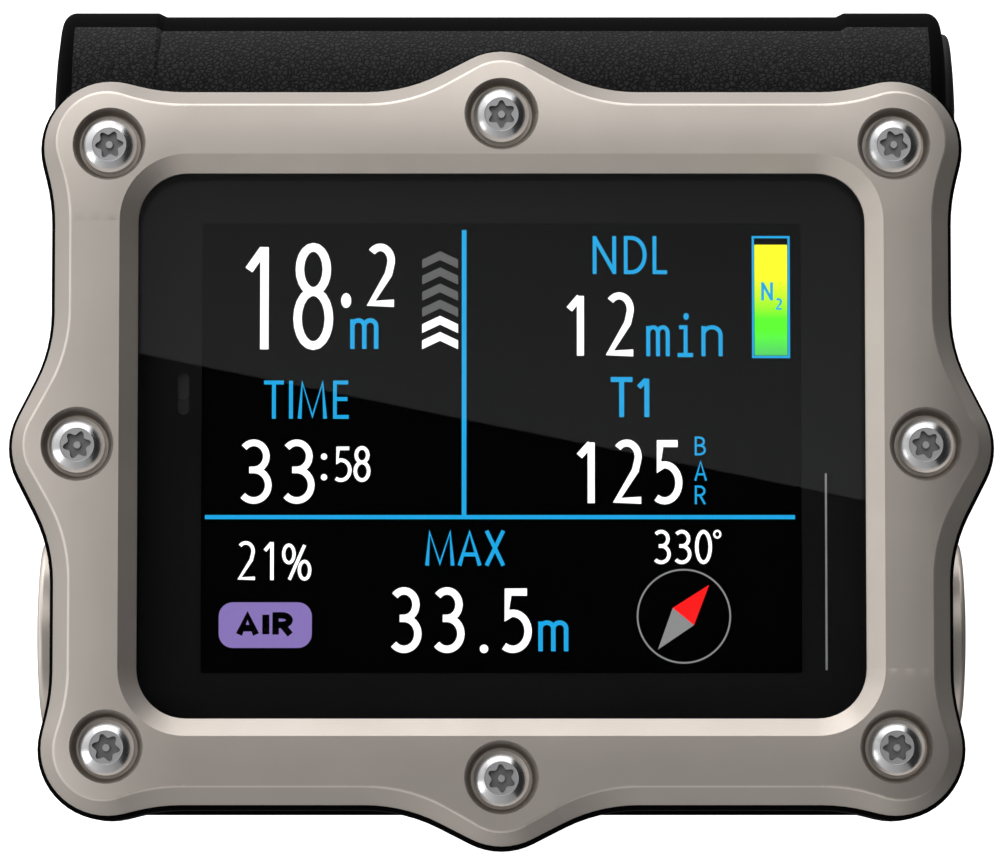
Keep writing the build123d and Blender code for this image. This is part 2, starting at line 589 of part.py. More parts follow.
def chassis_screws():
    """Four M2 screws that hold the chassis on its posts."""
    screw = disc(1.9, 29.35, 30.35) + disc(1.0, 22.0, 29.35)
    screw -= Pos(0, 0, 30.35) * star_prism(1.05, 0.7, 0.6)
    return group(Pos(x, y, 0) * screw for x, y in POSTS)


def circuit_board():
    """Main board, notched round the four posts."""
    board = block(-28.0, 28.0, -24.2, CAVITY_HIGH_Y - 0.3, BOARD_LOW, BOARD_HIGH)
    board = fillet(board.edges().filter_by(Axis.Z), 1.5)
    for x, y in POSTS:
        board -= disc(2.8, BOARD_LOW, BOARD_HIGH, x, y)
    for x, y in BOARD_SCREWS:
        board -= disc(0.85, BOARD_LOW, BOARD_HIGH, x, y)
    return board


def board_screws():
    """Four M1.6 screws that hang the board from the chassis."""
    screw = disc(1.4, BOARD_LOW - 0.8, BOARD_LOW) + disc(0.75, BOARD_LOW, 29.3)
    return group(Pos(x, y, 0) * screw for x, y in BOARD_SCREWS)


def board_chips():
    """Processor, memory, power parts and the ribbon socket."""
    under = [(-9.0, -8.0, 9.0, 9.0, 1.0), (2.0, -9.0, 6.0, 5.0, 0.9), (-10.0, 3.0, 4.0, 4.0, 0.8),
             (-2.5, 2.5, 5.0, 5.0, 2.2), (9.0, -11.0, 3.2, 1.6, 1.2), (9.0, -14.0, 3.2, 1.6, 1.2)]
    chips = [block(x - w / 2, x + w / 2, y - d / 2, y + d / 2, BOARD_LOW - h, BOARD_LOW)
             for x, y, w, d, h in under]
    chips.append(block(-8.0, 8.0, -20.9, -18.5, BOARD_HIGH, BOARD_HIGH + 1.0))
    return group(chips)


def board_shield():
    """Pressed can over the radio receiver parts."""
    can = block(12.0, 26.0, -2.0, 9.0, BOARD_LOW - 2.6, BOARD_LOW)
    return can - block(12.3, 25.7, -1.7, 8.7, BOARD_LOW - 2.3, BOARD_LOW)


def radio_module():
    """Short-range radio module with its own small board."""
    return block(-26.0, -16.0, -12.0, 0.0, BOARD_LOW - 0.8, BOARD_LOW) + block(
        -25.4, -18.6, -11.4, -3.0, BOARD_LOW - 2.4, BOARD_LOW - 0.8)


def compass_sensor():
    """Three-axis compass and tilt chip, on the upper side away from steel parts."""
    return block(20.5, 23.5, -8.5, -5.5, BOARD_HIGH, BOARD_HIGH + 0.9)


def light_sensor():
    """Ambient light sensor under the slot in the mask."""
    body = block(-28.0, -26.6, SENSOR_SLOT_Y - 2.4, SENSOR_SLOT_Y + 2.4, 31.2, 32.4)
    return body + Pos(SENSOR_SLOT_X, SENSOR_SLOT_Y, 32.4) * Cylinder(0.45, 0.3, align=BASE)


def display_ribbon():
    """Flat cable folded from the display down to the board's socket."""
    line = FilletPolyline((-24.27, 32.0), (-24.62, 32.0), (-24.62, 26.8), (-21.0, 26.8), radius=[0.3, 0.3])
    strip = extrude(Plane.YZ * trace(line, 0.16), amount=14.0)
    return Pos(-7.0, 0, 0) * strip


def vibration_motor():
    """Coin motor on the cavity floor."""
    return disc(5.0, FLOOR_TOP, FLOOR_TOP + 3.0, 15.0, -21.0)


def receiver_core():
    """Ferrite rod of the gas-transmitter receiver."""
    return rod(1.4, -26.5, -5.5, -25.6, 14.6)


def receiver_coil():
    """Copper winding on the ferrite rod, resting on the cavity floor."""
    winding = rod(3.2, -21.0, -9.0, -25.6, 14.6) - rod(1.45, -21.0, -9.0, -25.6, 14.6)
    return winding


def write_parts():
    """Write one STEP for each node."""
    nodes = {
        "bezel": bezel(), "bezel_screws": bezel_screws(), "bezel_inserts": bezel_inserts(),
        "window": window(), "window_mask": window_mask(), "window_seal": window_seal(),
        "main_housing": main_housing(), "strap_cradle": strap_cradle(),
        "cradle_screws": cradle_screws(), "cradle_inserts": cradle_inserts(),
        "sensor_guard": sensor_guard(), "pressure_sensor": pressure_sensor(),
        "sensor_seal": sensor_seal(), "sensor_retainer": sensor_retainer(),
        "battery_cap": battery_cap(), "cap_seal": cap_seal(), "cap_contact_spring": cap_contact_spring(),
        "thread_ring": thread_ring(), "battery_cell": battery_cell(),
        "contact_carrier": contact_carrier(), "battery_contact": battery_contact(),
        "battery_leads": battery_leads(), "display_panel": display_panel(),
        "display_backlight": display_backlight(), "chassis": chassis(),
        "chassis_screws": chassis_screws(), "circuit_board": circuit_board(),
        "board_screws": board_screws(), "board_chips": board_chips(), "board_shield": board_shield(),
        "radio_module": radio_module(), "compass_sensor": compass_sensor(),
        "light_sensor": light_sensor(), "display_ribbon": display_ribbon(),
        "vibration_motor": vibration_motor(), "receiver_core": receiver_core(),
        "receiver_coil": receiver_coil(),
    }
    pairs = {"button": button, "button_sleeve": button_sleeve, "button_seals": button_seals,
             "button_clip": button_clip, "button_spring": button_spring,
             "switch_board": switch_board, "button_switch": button_switch}
    for name, make in pairs.items():
        nodes[name + "_left"], nodes[name + "_right"] = both_sides(make)
    os.makedirs("parts", exist_ok=True)
    for name, shape in nodes.items():
        export_step(shape, "parts/" + name + ".step")


write_parts()
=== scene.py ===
"""Wrist dive computer: finishes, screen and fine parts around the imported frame, in metres.

The sections follow the instrument as it is put together, from the case outwards to the studio.
"""
import json
import math

import bmesh
import bpy
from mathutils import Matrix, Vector

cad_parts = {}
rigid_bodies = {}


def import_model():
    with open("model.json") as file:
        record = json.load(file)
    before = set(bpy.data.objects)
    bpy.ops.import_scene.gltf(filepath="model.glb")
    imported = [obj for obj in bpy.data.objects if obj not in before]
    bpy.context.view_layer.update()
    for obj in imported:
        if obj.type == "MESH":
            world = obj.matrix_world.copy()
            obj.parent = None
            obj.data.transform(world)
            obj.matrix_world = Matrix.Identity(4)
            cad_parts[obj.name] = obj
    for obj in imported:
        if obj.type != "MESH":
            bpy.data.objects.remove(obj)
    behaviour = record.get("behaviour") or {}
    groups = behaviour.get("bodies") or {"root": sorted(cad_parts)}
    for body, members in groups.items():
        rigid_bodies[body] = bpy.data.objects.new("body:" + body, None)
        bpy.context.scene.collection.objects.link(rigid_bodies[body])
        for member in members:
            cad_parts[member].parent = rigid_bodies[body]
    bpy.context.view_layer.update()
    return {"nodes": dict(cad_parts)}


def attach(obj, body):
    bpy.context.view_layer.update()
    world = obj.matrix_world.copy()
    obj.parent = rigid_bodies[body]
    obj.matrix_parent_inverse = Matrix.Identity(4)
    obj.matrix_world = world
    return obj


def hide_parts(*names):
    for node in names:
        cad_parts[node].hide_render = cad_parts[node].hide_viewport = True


for leftover in list(bpy.data.objects):
    bpy.data.objects.remove(leftover)
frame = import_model()
nodes = frame["nodes"]
MM = 0.001


# Case. One moulding of black glass-filled polymer carries everything. The battery barrel has a
# leather grain from the mould between smooth bands at its two ends; the rest is finely spark-eroded.
def finish(name, colour, metallic, roughness):
    """New material with its plain values on the shader's own sockets."""
    material = bpy.data.materials.new(name)
    material.use_nodes = True
    shader = material.node_tree.nodes["Principled BSDF"]
    shader.inputs["Base Color"].default_value = (*colour, 1.0)
    shader.inputs["Metallic"].default_value = metallic
    shader.inputs["Roughness"].default_value = roughness
    return material


def shader_of(material):
    """The material's one Principled shader."""
    return material.node_tree.nodes["Principled BSDF"]


def add(material, kind, inputs=None, **settings):
    """New node, its inputs joined to sockets or set to values by name or number."""
    node = material.node_tree.nodes.new(kind)
    for key, value in settings.items():
        setattr(node, key, value)
    for key, value in (inputs or {}).items():
        if isinstance(value, bpy.types.NodeSocket):
            material.node_tree.links.new(value, node.inputs[key])
        else:
            node.inputs[key].default_value = value
    return node


def object_place(material):
    """Coordinates fixed to the piece, in metres."""
    return add(material, "ShaderNodeTexCoord").outputs["Object"]


def noise(material, place, size, detail=3.0):
    """Noise value whose blotches are about size millimetres across."""
    inputs = {"Vector": place, "Scale": 1.0 / (size * MM), "Detail": detail}
    return add(material, "ShaderNodeTexNoise", inputs).outputs["Fac"]


def math_node(material, operation, *values):
    """Result of a Math node on sockets or numbers."""
    return add(material, "ShaderNodeMath", dict(enumerate(values)), operation=operation).outputs[0]


def rescale(material, value, low, high, new_low, new_high):
    """Value moved from one range to another and held inside it."""
    inputs = {"Value": value, "From Min": low, "From Max": high, "To Min": new_low, "To Max": new_high}
    return add(material, "ShaderNodeMapRange", inputs).outputs[0]


def blend_colours(material, value, *stops):
    """Colour that runs through the stops, each a position and a colour."""
    ramp = add(material, "ShaderNodeValToRGB", {"Fac": value})
    elements = ramp.color_ramp.elements
    elements[0].position, elements[1].position = stops[0][0], stops[-1][0]
    elements[0].color, elements[1].color = (*stops[0][1], 1.0), (*stops[-1][1], 1.0)
    for position, colour in stops[1:-1]:
        elements.new(position).color = (*colour, 1.0)
    return ramp.outputs["Color"]


def drive(material, socket, value):
    """Join a value to one of the shader's sockets."""
    material.node_tree.links.new(value, shader_of(material).inputs[socket])


def raise_surface(material, height, depth, below=None):
    """Bump whose full height is depth millimetres, over an earlier bump."""
    inputs = {"Height": height, "Distance": depth * MM, "Strength": 1.0}
    if below is not None:
        inputs["Normal"] = below
    bump = add(material, "ShaderNodeBump", inputs).outputs["Normal"]
    drive(material, "Normal", bump)
    return bump


def grained(name, colour, metallic, roughness, size, contrast, depth):
    """Material with an uneven tone, roughness and surface, all at one grain size in millimetres."""
    material = finish(name, colour, metallic, roughness)
    place = object_place(material)
    level = noise(material, place, size)
    darker = [channel * (1.0 - contrast) for channel in colour]
    lighter = [min(1.0, channel * (1.0 + contrast)) for channel in colour]
    drive(material, "Base Color", blend_colours(material, level, (0.3, darker), (0.7, lighter)))
    drive(material, "Roughness", rescale(material, level, 0.3, 0.7, roughness * 0.88, roughness * 1.12))
    raise_surface(material, level, depth)
    return material


def dress(material, *names):
    """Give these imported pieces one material."""
    for name in names:
        nodes[name].data.materials[0] = material


BARREL_Y, BARREL_Z = 26.55, 17.6
GRAIN_END_X, GRAIN_LOW_Z, GRAIN_LOW_Y = 37.3, 23.7, 15.0
WANDER_SCALE, WANDER_REACH, PEBBLE_SCALE = 2200.0, 0.0004, 2300.0
case_black = finish("case_black", (0.011, 0.011, 0.0115), 0.0, 0.5)
shader_of(case_black).inputs["Specular IOR Level"].default_value = 0.06
case_place = object_place(case_black)
case_axes = add(case_black, "ShaderNodeSeparateXYZ", {"Vector": case_place}).outputs
across = math_node(case_black, "ABSOLUTE", case_axes["X"])
inside_ends = math_node(case_black, "LESS_THAN", across, GRAIN_END_X * MM)
on_top = math_node(case_black, "GREATER_THAN", case_axes["Z"], GRAIN_LOW_Z * MM)
on_barrel = math_node(case_black, "GREATER_THAN", case_axes["Y"], GRAIN_LOW_Y * MM)
on_upper_barrel = math_node(case_black, "MULTIPLY", on_top, on_barrel)
grain_area = math_node(case_black, "MULTIPLY", inside_ends, on_upper_barrel)
wander = add(case_black, "ShaderNodeTexNoise", {"Vector": case_place, "Scale": WANDER_SCALE, "Detail": 2.0})
shift = add(case_black, "ShaderNodeVectorMath",
            {0: wander.outputs["Color"], 1: (WANDER_REACH, WANDER_REACH, WANDER_REACH)},
            operation="MULTIPLY").outputs[0]
bent_place = add(case_black, "ShaderNodeVectorMath", {0: case_place, 1: shift}, operation="ADD").outputs[0]
pebbles = add(case_black, "ShaderNodeTexVoronoi", {"Vector": bent_place, "Scale": PEBBLE_SCALE},
              feature="DISTANCE_TO_EDGE").outputs["Distance"]
pebble_height = rescale(case_black, pebbles, 0.0, 0.25, 0.0, 1.0)
leather_and_painted_sheen = math_node(case_black, "MULTIPLY", pebble_height, grain_area)
spark = noise(case_black, case_place, 0.22)
spark_bump = raise_surface(case_black, spark, 0.006)
raise_surface(case_black, leather_and_painted_sheen, 0.04, spark_bump)
drive(case_black, "Roughness", rescale(case_black, grain_area, 0.0, 1.0, 1.0, 0.36))
# Base colour is painted lighter on the pebble tops as a painted highlight, and darkest in the pits and on
# the smooth parts as painted shade.
drive(case_black, "Base Color", blend_colours(
    case_black, leather_and_painted_sheen, (0.0, (0.0025, 0.0025, 0.0026)), (1.0, (0.026, 0.026, 0.0265))))
dress(case_black, "main_housing")


# Window. Flat coated mineral glass with a ground edge lies in the bezel's rebate, over a black printed film
# that leaves the screen and the light sensor's slot open. One thin grey rule is printed at the right.
WINDOW_Y = -2.75
GLASS_SIZE, GLASS_CORNER = (65.4, 50.0), 6.0
GLASS_LOW, GLASS_SHOULDER, GLASS_TOP, GLASS_CHAMFER = 33.13, 35.7, 36.0, 0.3


def rounded_outline(width, height, corner, middle=(0.0, WINDOW_Y), steps=10):
    """Anticlockwise points of a rectangle with rounded corners, in millimetres."""
    points = []
    for quarter, (side_x, side_y) in enumerate(((1, 1), (-1, 1), (-1, -1), (1, -1))):
        centre_x = middle[0] + side_x * (width / 2 - corner)
        centre_y = middle[1] + side_y * (height / 2 - corner)
        for step in range(steps + 1):
            angle = math.radians(90 * (quarter + step / steps))
            points.append((centre_x + corner * math.cos(angle), centre_y + corner * math.sin(angle)))
    return points


def piece(name, points, faces, material, slot, body="case"):
    """Mesh object from millimetre points, riding on a body; its slot argument is not used."""
    mesh = bpy.data.meshes.new(name)
    mesh.from_pydata([[value * MM for value in point] for point in points], [], faces)
    mesh.validate()
    mesh.materials.append(material)
    made = bpy.data.objects.new(name, mesh)
    bpy.context.scene.collection.objects.link(made)
    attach(made, body)
    return made


def stack(loops):
    """Points and faces of a closed solid skinned over outlines of equal length, bottom to top."""
    points = [point for loop in loops for point in loop]
    count = len(loops[0])
    faces = [list(range(count))[::-1], list(range(len(points) - count, len(points)))]
    for level in range(len(loops) - 1):
        for step in range(count):
            after = (step + 1) % count
            low, high = level * count, (level + 1) * count
            faces.append([low + step, low + after, high + after, high + step])
    return points, faces


def at_height(outline, height):
    """Outline lifted to a height."""
    return [(x, y, height) for x, y in outline]


mineral_glass = finish("mineral_glass", (0.985, 0.99, 0.99), 0.0, 0.0)
shader_of(mineral_glass).inputs["Transmission Weight"].default_value = 1.0
shader_of(mineral_glass).inputs["IOR"].default_value = 1.25
width, height = GLASS_SIZE
edge = rounded_outline(width, height, GLASS_CORNER)
face = rounded_outline(width - 2 * GLASS_CHAMFER, height - 2 * GLASS_CHAMFER, GLASS_CORNER - GLASS_CHAMFER)
levels = [at_height(edge, GLASS_LOW), at_height(edge, GLASS_SHOULDER), at_height(face, GLASS_TOP)]
glass = piece("window_pane", *stack(levels), mineral_glass, "window_glass")
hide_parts("window")

mask_black = grained("mask_black", (0.0115, 0.0115, 0.012), 0.0, 0.6, 0.3, 0.06, 0.0)
shader_of(mask_black).inputs["Specular IOR Level"].default_value = 0.05
dress(mask_black, "window_mask")

RULE_U, RULE_LOW_V, RULE_HIGH_V, RULE_WIDTH = 27.65, -19.0, -2.2, 0.17
rule_grey = grained("printed_rule", (0.5, 0.5, 0.5), 0.0, 0.5, 0.4, 0.06, 0.001)
rule_middle = (RULE_U, WINDOW_Y + (RULE_LOW_V + RULE_HIGH_V) / 2)
rule_outline = rounded_outline(RULE_WIDTH, RULE_HIGH_V - RULE_LOW_V, 0.08, rule_middle, 3)
piece("printed_rule", *stack([at_height(rule_outline, 33.1), at_height(rule_outline, 33.12)]),
      rule_grey, "mask_black")


# Screen. A colour liquid crystal cell shows white figures, blue labels and lines, a row of chevrons
# for the rate of ascent, a tissue-loading bar, a gas plate and a compass. All of it is lit from behind.
SCREEN_LOW, SCREEN_HIGH = 32.82, 32.86
SCREEN_SCALE_X, SCREEN_SCALE_Y = 1.004, 1.01
SCREEN_SHIFT_X, SCREEN_SHIFT_Y = -0.13, 0.11
DOT_PITCH = 0.000157
LETTER_LIFT = 0.04


def lit(name, colour, strength=1.0):
    """Backlit colour with the fine dot pitch of the cell in it."""
    material = finish(name, (0.0, 0.0, 0.0), 0.0, 0.4)
    shader_of(material).inputs["Emission Strength"].default_value = strength
    place = object_place(material)
    dots = add(material, "ShaderNodeTexBrick", {
        "Vector": place, "Color1": (1.0, 1.0, 1.0, 1.0), "Color2": (0.98, 0.98, 0.98, 1.0),
        "Mortar": (0.9, 0.9, 0.9, 1.0), "Scale": 1.0, "Mortar Size": 0.000008,
        "Brick Width": DOT_PITCH, "Row Height": DOT_PITCH}, offset=0.0).outputs["Color"]
    tint = add(material, "ShaderNodeMixRGB", {"Fac": 1.0, "Color1": dots, "Color2": (*colour, 1.0)},
               blend_type="MULTIPLY").outputs["Color"]
    drive(material, "Emission Color", tint)
    return material


def bow(centre_x, centre_y, radius_x, radius_y, start=0, end=360, steps=20):
    """Points along an oval arc, angles in degrees."""
    points = []
    for step in range(steps + 1):
        angle = math.radians(start + (end - start) * step / steps)
        points.append((centre_x + radius_x * math.cos(angle), centre_y + radius_y * math.sin(angle)))
    return points


FIGURES = {
    "0": [bow(0.5, 0.5, 0.5, 0.5)],
    "1": [[(0.0, 0.78), (0.95, 1.0)], [(1.0, 1.02), (1.0, -0.05)]],
    "2": [bow(0.42, 0.76, 0.5, 0.24, 140, -18) + [(0.8, 0.52), (0.0, 0.0), (1.05, 0.0)]],
    "3": [bow(0.42, 0.765, 0.5, 0.235, 140, -90) + [(0.24, 0.53)],
          [(0.3, 0.53)] + bow(0.42, 0.265, 0.58, 0.265, 90, -138)],
    "5": [[(0.95, 1.0), (0.16, 1.0), (0.1, 0.56)] + bow(0.36, 0.315, 0.64, 0.315, 98, -125)],
    "8": [bow(0.5, 0.775, 0.43, 0.225), bow(0.5, 0.275, 0.5, 0.275)],
    "%": [bow(0.2, 0.74, 0.2, 0.26), bow(0.8, 0.26, 0.2, 0.26), [(0.8, 1.0), (0.22, -0.02)]],
    "T": [[(-0.05, 1.0), (1.05, 1.0)], [(0.5, 1.0), (0.5, -0.05)]],
    "I": [[(0.5, 1.05), (0.5, -0.05)]],
    "M": [[(0.0, -0.05), (0.1, 1.0), (0.5, 0.02), (0.9, 1.0), (1.0, -0.05)]],
    "E": [[(1.0, 1.0), (0.0, 1.0), (0.0, 0.0), (1.05, 0.0)], [(0.0, 0.52), (0.95, 0.52)]],
    "N": [[(0.0, -0.05), (0.0, 1.05)], [(0.0, 1.0), (1.0, 0.0)], [(1.0, -0.05), (1.0, 1.05)]],
    "D": [[(0.3, 0.0), (0.0, 0.0), (0.0, 1.0), (0.3, 1.0)], bow(0.3, 0.5, 0.7, 0.5, 90, -90)],
    "L": [[(0.0, 1.05), (0.0, 0.0), (1.05, 0.0)]],
    "A": [[(0.0, -0.05), (0.5, 1.0), (1.0, -0.05)], [(0.15, 0.3), (0.85, 0.3)]],
    "X": [[(0.0, -0.05), (1.0, 1.05)], [(0.0, 1.05), (1.0, -0.05)]],
    "B": [[(0.4, 0.0), (0.0, 0.0), (0.0, 1.0), (0.4, 1.0)], bow(0.4, 0.765, 0.5, 0.235, 90, -90),
          [(0.0, 0.53), (0.4, 0.53)], bow(0.4, 0.265, 0.6, 0.265, 90, -90)],
    "R": [[(0.0, -0.05), (0.0, 1.0), (0.4, 1.0)], bow(0.4, 0.74, 0.55, 0.26, 90, -90),
          [(0.0, 0.48), (0.4, 0.48)], [(0.45, 0.48), (1.0, -0.05)]],
    "m": [[(0.0, -0.04), (0.0, 1.04)], bow(0.25, 0.78, 0.25, 0.22, 160, 0) + [(0.5, -0.04)],
          bow(0.75, 0.78, 0.25, 0.22, 160, 0) + [(1.0, -0.04)]],
    "n": [[(0.0, -0.04), (0.0, 1.04)], bow(0.5, 0.72, 0.5, 0.28, 165, 0) + [(1.0, -0.04)]],
    "i": [[(0.1, 1.0), (0.52, 1.0), (0.52, 0.0)], [(0.0, 0.0), (1.0, 0.0)]],
    "°": [bow(0.5, 0.5, 0.5, 0.5)],
}


def thick_line(line, width, closed, low=SCREEN_LOW, high=SCREEN_HIGH):
    """Points and faces of a flat bar of even width along a line."""
    if closed:
        line = line[:-1]
    count = len(line)
    sides = []
    for step, (x, y) in enumerate(line):
        before = line[step - 1] if closed or step > 0 else None
        after = line[(step + 1) % count] if closed or step < count - 1 else None
        steps = [Vector((x - before[0], y - before[1])).normalized()] if before else []
        steps += [Vector((after[0] - x, after[1] - y)).normalized()] if after else []
        along = sum(steps, Vector((0.0, 0.0))).normalized()
        normal = Vector((-along.y, along.x))
        reach = width / 2 / max(0.75, normal.dot(Vector((-steps[0].y, steps[0].x))))
        left = (x + normal.x * reach, y + normal.y * reach)
        right = (x - normal.x * reach, y - normal.y * reach)
        sides.append((left, right))
    points = []
    for left, right in sides:
        points += [(*left, low), (*right, low), (*right, high), (*left, high)]
    faces = []
    for step in range(count if closed else count - 1):
        here, there = 4 * step, 4 * ((step + 1) % count)
        for corner in range(4):
            beside = (corner + 1) % 4
            faces.append([here + corner, here + beside, there + beside, there + corner])
    if not closed:
        faces += [[3, 2, 1, 0], [4 * count - 4, 4 * count - 3, 4 * count - 2, 4 * count - 1]]
    return points, faces


def filled(outline, low=SCREEN_LOW, high=SCREEN_HIGH):
    """Points and faces of a flat plate inside an outline."""
    return stack([at_height(outline, low), at_height(outline, high)])


def character(sign, left, right, bottom, top, line_width):
    """Bars of one figure or letter that fills the given box, line width included."""
    half = line_width / 2
    bars = []
    width, height = right - left - line_width, top - bottom - line_width
    for stroke in FIGURES[sign]:
        line = [(left + half + x * width, bottom + half + y * height) for x, y in stroke]
        closed = (Vector(line[0]) - Vector(line[-1])).length < 0.001
        bars.append(thick_line(line, line_width, closed))
    return bars


def join(parts):
    """One list of points and faces from several."""
    points, faces = [], []
    for some_points, some_faces in parts:
        faces += [[index + len(points) for index in face] for face in some_faces]
        points += some_points
    return points, faces


def screen_piece(name, parts, material):
    """Piece on the screen from parts measured from the middle of the window."""
    points, faces = join(parts)
    placed = [(SCREEN_SCALE_X * x + SCREEN_SHIFT_X, SCREEN_SCALE_Y * y + SCREEN_SHIFT_Y + WINDOW_Y, z)
              for x, y, z in points]
    made = piece(name, placed, faces, material, "display_glass")
    mesh = bmesh.new()
    mesh.from_mesh(made.data)
    bmesh.ops.recalc_face_normals(mesh, faces=mesh.faces)
    mesh.to_mesh(made.data)
    mesh.free()
    return made


def dot(centre_x, centre_y, radius_x, radius_y):
    """Filled oval."""
    return filled(bow(centre_x, centre_y, radius_x, radius_y)[:-1])


WHITE, BLUE = (1.0, 1.0, 1.0), (0.004, 0.445, 0.9)
screen_white = lit("screen_white", WHITE, 1.3)
screen_blue = lit("screen_blue", BLUE, 0.9)
screen_grey = lit("screen_grey", (0.12, 0.12, 0.12))
screen_purple = lit("screen_purple", (0.227, 0.159, 0.445), 1.1)
screen_red = lit("screen_red", (0.96, 0.0, 0.0), 1.1)
screen_dim = lit("screen_dim", (0.27, 0.27, 0.27))
screen_dark = finish("screen_dark", (0.002, 0.002, 0.002), 0.0, 0.5)
shader_of(screen_dark).inputs["Specular IOR Level"].default_value = 0.02

white_signs = [
    ("1", -21.75, -19.7, 8.3, 17.15, 0.72), ("8", -17.6, -14.2, 8.2, 17.3, 0.72),
    ("2", -11.3, -8.8, 11.85, 17.25, 0.64),
    ("3", -22.1, -19.4, -4.85, 0.6, 0.56), ("3", -18.45, -15.75, -4.85, 0.6, 0.56),
    ("5", -14.1, -12.6, -3.0, 0.0, 0.31), ("8", -12.45, -11.0, -3.0, 0.05, 0.31),
    ("1", 5.6, 7.15, 7.65, 13.0, 0.6), ("2", 9.05, 11.55, 7.65, 13.1, 0.6),
    ("1", 6.45, 8.05, -4.85, 0.55, 0.6), ("2", 9.65, 12.2, -4.85, 0.6, 0.6),
    ("5", 13.0, 15.5, -4.9, 0.55, 0.6),
    ("2", -22.25, -20.7, -11.3, -8.0, 0.3), ("1", -20.1, -19.2, -11.3, -8.0, 0.3),
    ("%", -18.5, -16.0, -11.35, -8.2, 0.28),
    ("3", -9.3, -6.65, -17.45, -11.9, 0.62), ("3", -5.65, -3.0, -17.45, -11.9, 0.62),
    ("5", 0.05, 2.7, -17.45, -12.0, 0.62),
    ("3", 13.05, 14.5, -9.95, -7.05, 0.3), ("3", 14.8, 16.25, -9.95, -7.05, 0.3),
    ("0", 16.55, 18.0, -9.95, -7.05, 0.3), ("°", 18.1, 18.8, -7.8, -7.05, 0.17),
]
white_parts = [bar for sign in white_signs for bar in character(*sign)]
white_parts += [dot(-13.1, 12.4, 0.43, 0.63), dot(-1.35, -17.1, 0.36, 0.36),
                dot(-14.95, -0.85, 0.27, 0.27), dot(-14.95, -2.6, 0.27, 0.27)]
screen_piece("screen_figures", white_parts, screen_white)

blue_signs = [
    ("m", -12.75, -10.35, 8.2, 10.9, 0.38),
    ("T", -20.15, -18.3, 2.35, 5.6, 0.33), ("I", -17.95, -17.6, 2.35, 5.6, 0.33),
    ("M", -17.2, -14.7, 2.35, 5.6, 0.33), ("E", -14.2, -12.75, 2.35, 5.6, 0.33),
    ("N", 7.9, 9.9, 14.65, 17.9, 0.33), ("D", 10.55, 12.5, 14.65, 17.9, 0.33),
    ("L", 13.0, 14.35, 14.65, 17.9, 0.33),
    ("m", 12.45, 14.45, 7.6, 10.3, 0.34), ("i", 14.95, 16.6, 7.6, 10.3, 0.34),
    ("n", 17.15, 18.95, 7.6, 10.3, 0.34),
    ("T", 9.3, 11.4, 2.45, 5.9, 0.42), ("1", 11.6, 12.7, 2.45, 5.9, 0.42),
    ("B", 16.55, 17.5, -0.75, 0.85, 0.18), ("A", 16.5, 17.6, -2.9, -1.2, 0.18),
    ("R", 16.55, 17.5, -4.9, -3.3, 0.18),
    ("M", -6.35, -3.85, -10.1, -7.1, 0.33), ("A", -3.6, -1.55, -10.1, -7.1, 0.33),
    ("X", -1.3, 0.45, -10.1, -7.1, 0.33),
    ("m", 3.25, 5.8, -17.4, -14.7, 0.38),
]
blue_parts = [bar for sign in blue_signs for bar in character(*sign)]
blue_parts.append(dot(15.85, 11.05, 0.23, 0.29))
blue_parts.append(filled([(-3.25, -5.95), (-2.85, -5.95), (-2.85, 18.4), (-3.25, 18.4)]))
blue_parts.append(filled([(-25.05, -6.15), (25.05, -6.15), (25.05, -5.8), (-25.05, -5.8)]))
screen_piece("screen_labels", blue_parts, screen_blue)

CHEVRON_X, CHEVRON_HALF, CHEVRON_TOP = -5.1, 1.53, 16.6
CHEVRON_STEP, CHEVRON_BAND, CHEVRON_DROP = 1.375, 0.74, 0.72


def chevron(row):
    """Outline of one arrowhead, counted from the top."""
    peak = CHEVRON_TOP - row * CHEVRON_STEP
    left, right = CHEVRON_X - CHEVRON_HALF, CHEVRON_X + CHEVRON_HALF
    shoulder = peak - CHEVRON_DROP
    lower = shoulder - CHEVRON_BAND
    halves = [[(left, lower), (CHEVRON_X, peak - CHEVRON_BAND), (CHEVRON_X, peak), (left, shoulder)],
              [(CHEVRON_X, peak - CHEVRON_BAND), (right, lower), (right, shoulder), (CHEVRON_X, peak)]]
    return [filled(half) for half in halves]


screen_piece("chevrons_dim", [half for row in range(4) for half in chevron(row)], screen_grey)
screen_piece("chevrons_lit", [half for row in (4, 5) for half in chevron(row)], screen_white)

# Gas plate: a purple lozenge with dark letters that lie on it.
plate_outline = rounded_outline(7.9, 3.85, 1.2, (-19.9, -15.1))
screen_piece("gas_plate", [filled(plate_outline)], screen_purple)
letters = [("A", -22.4, -20.4, -16.1, -14.0, 0.56), ("I", -20.15, -19.55, -16.1, -14.0, 0.6),
           ("R", -19.3, -17.5, -16.1, -14.0, 0.56)]
letter_parts = [([(x, y, z + LETTER_LIFT) for x, y, z in points], faces)
                for sign in letters for points, faces in character(*sign)]
screen_piece("gas_letters", letter_parts, screen_dark)

# Tissue-loading bar: a thin blue frame round a fill that runs from green up to yellow.
BAR_LEFT, BAR_RIGHT, BAR_LOW, BAR_HIGH, BAR_LEVEL = 21.55, 24.6, 7.6, 17.8, 17.15
bar_frame = [(BAR_LEFT, BAR_LOW), (BAR_RIGHT, BAR_LOW), (BAR_RIGHT, BAR_HIGH), (BAR_LEFT, BAR_HIGH),
             (BAR_LEFT, BAR_LOW)]
screen_piece("loading_frame", [thick_line(bar_frame, 0.2, True)], screen_blue)
bar_colours = finish("loading_colours", (0.0, 0.0, 0.0), 0.0, 0.4)
shader_of(bar_colours).inputs["Emission Strength"].default_value = 1.1
bar_axes = add(bar_colours, "ShaderNodeSeparateXYZ", {"Vector": object_place(bar_colours)}).outputs
bar_share = rescale(bar_colours, bar_axes["Y"], (BAR_LOW * SCREEN_SCALE_Y + WINDOW_Y) * MM,
                    (BAR_LEVEL * SCREEN_SCALE_Y + WINDOW_Y) * MM, 0.0, 1.0)
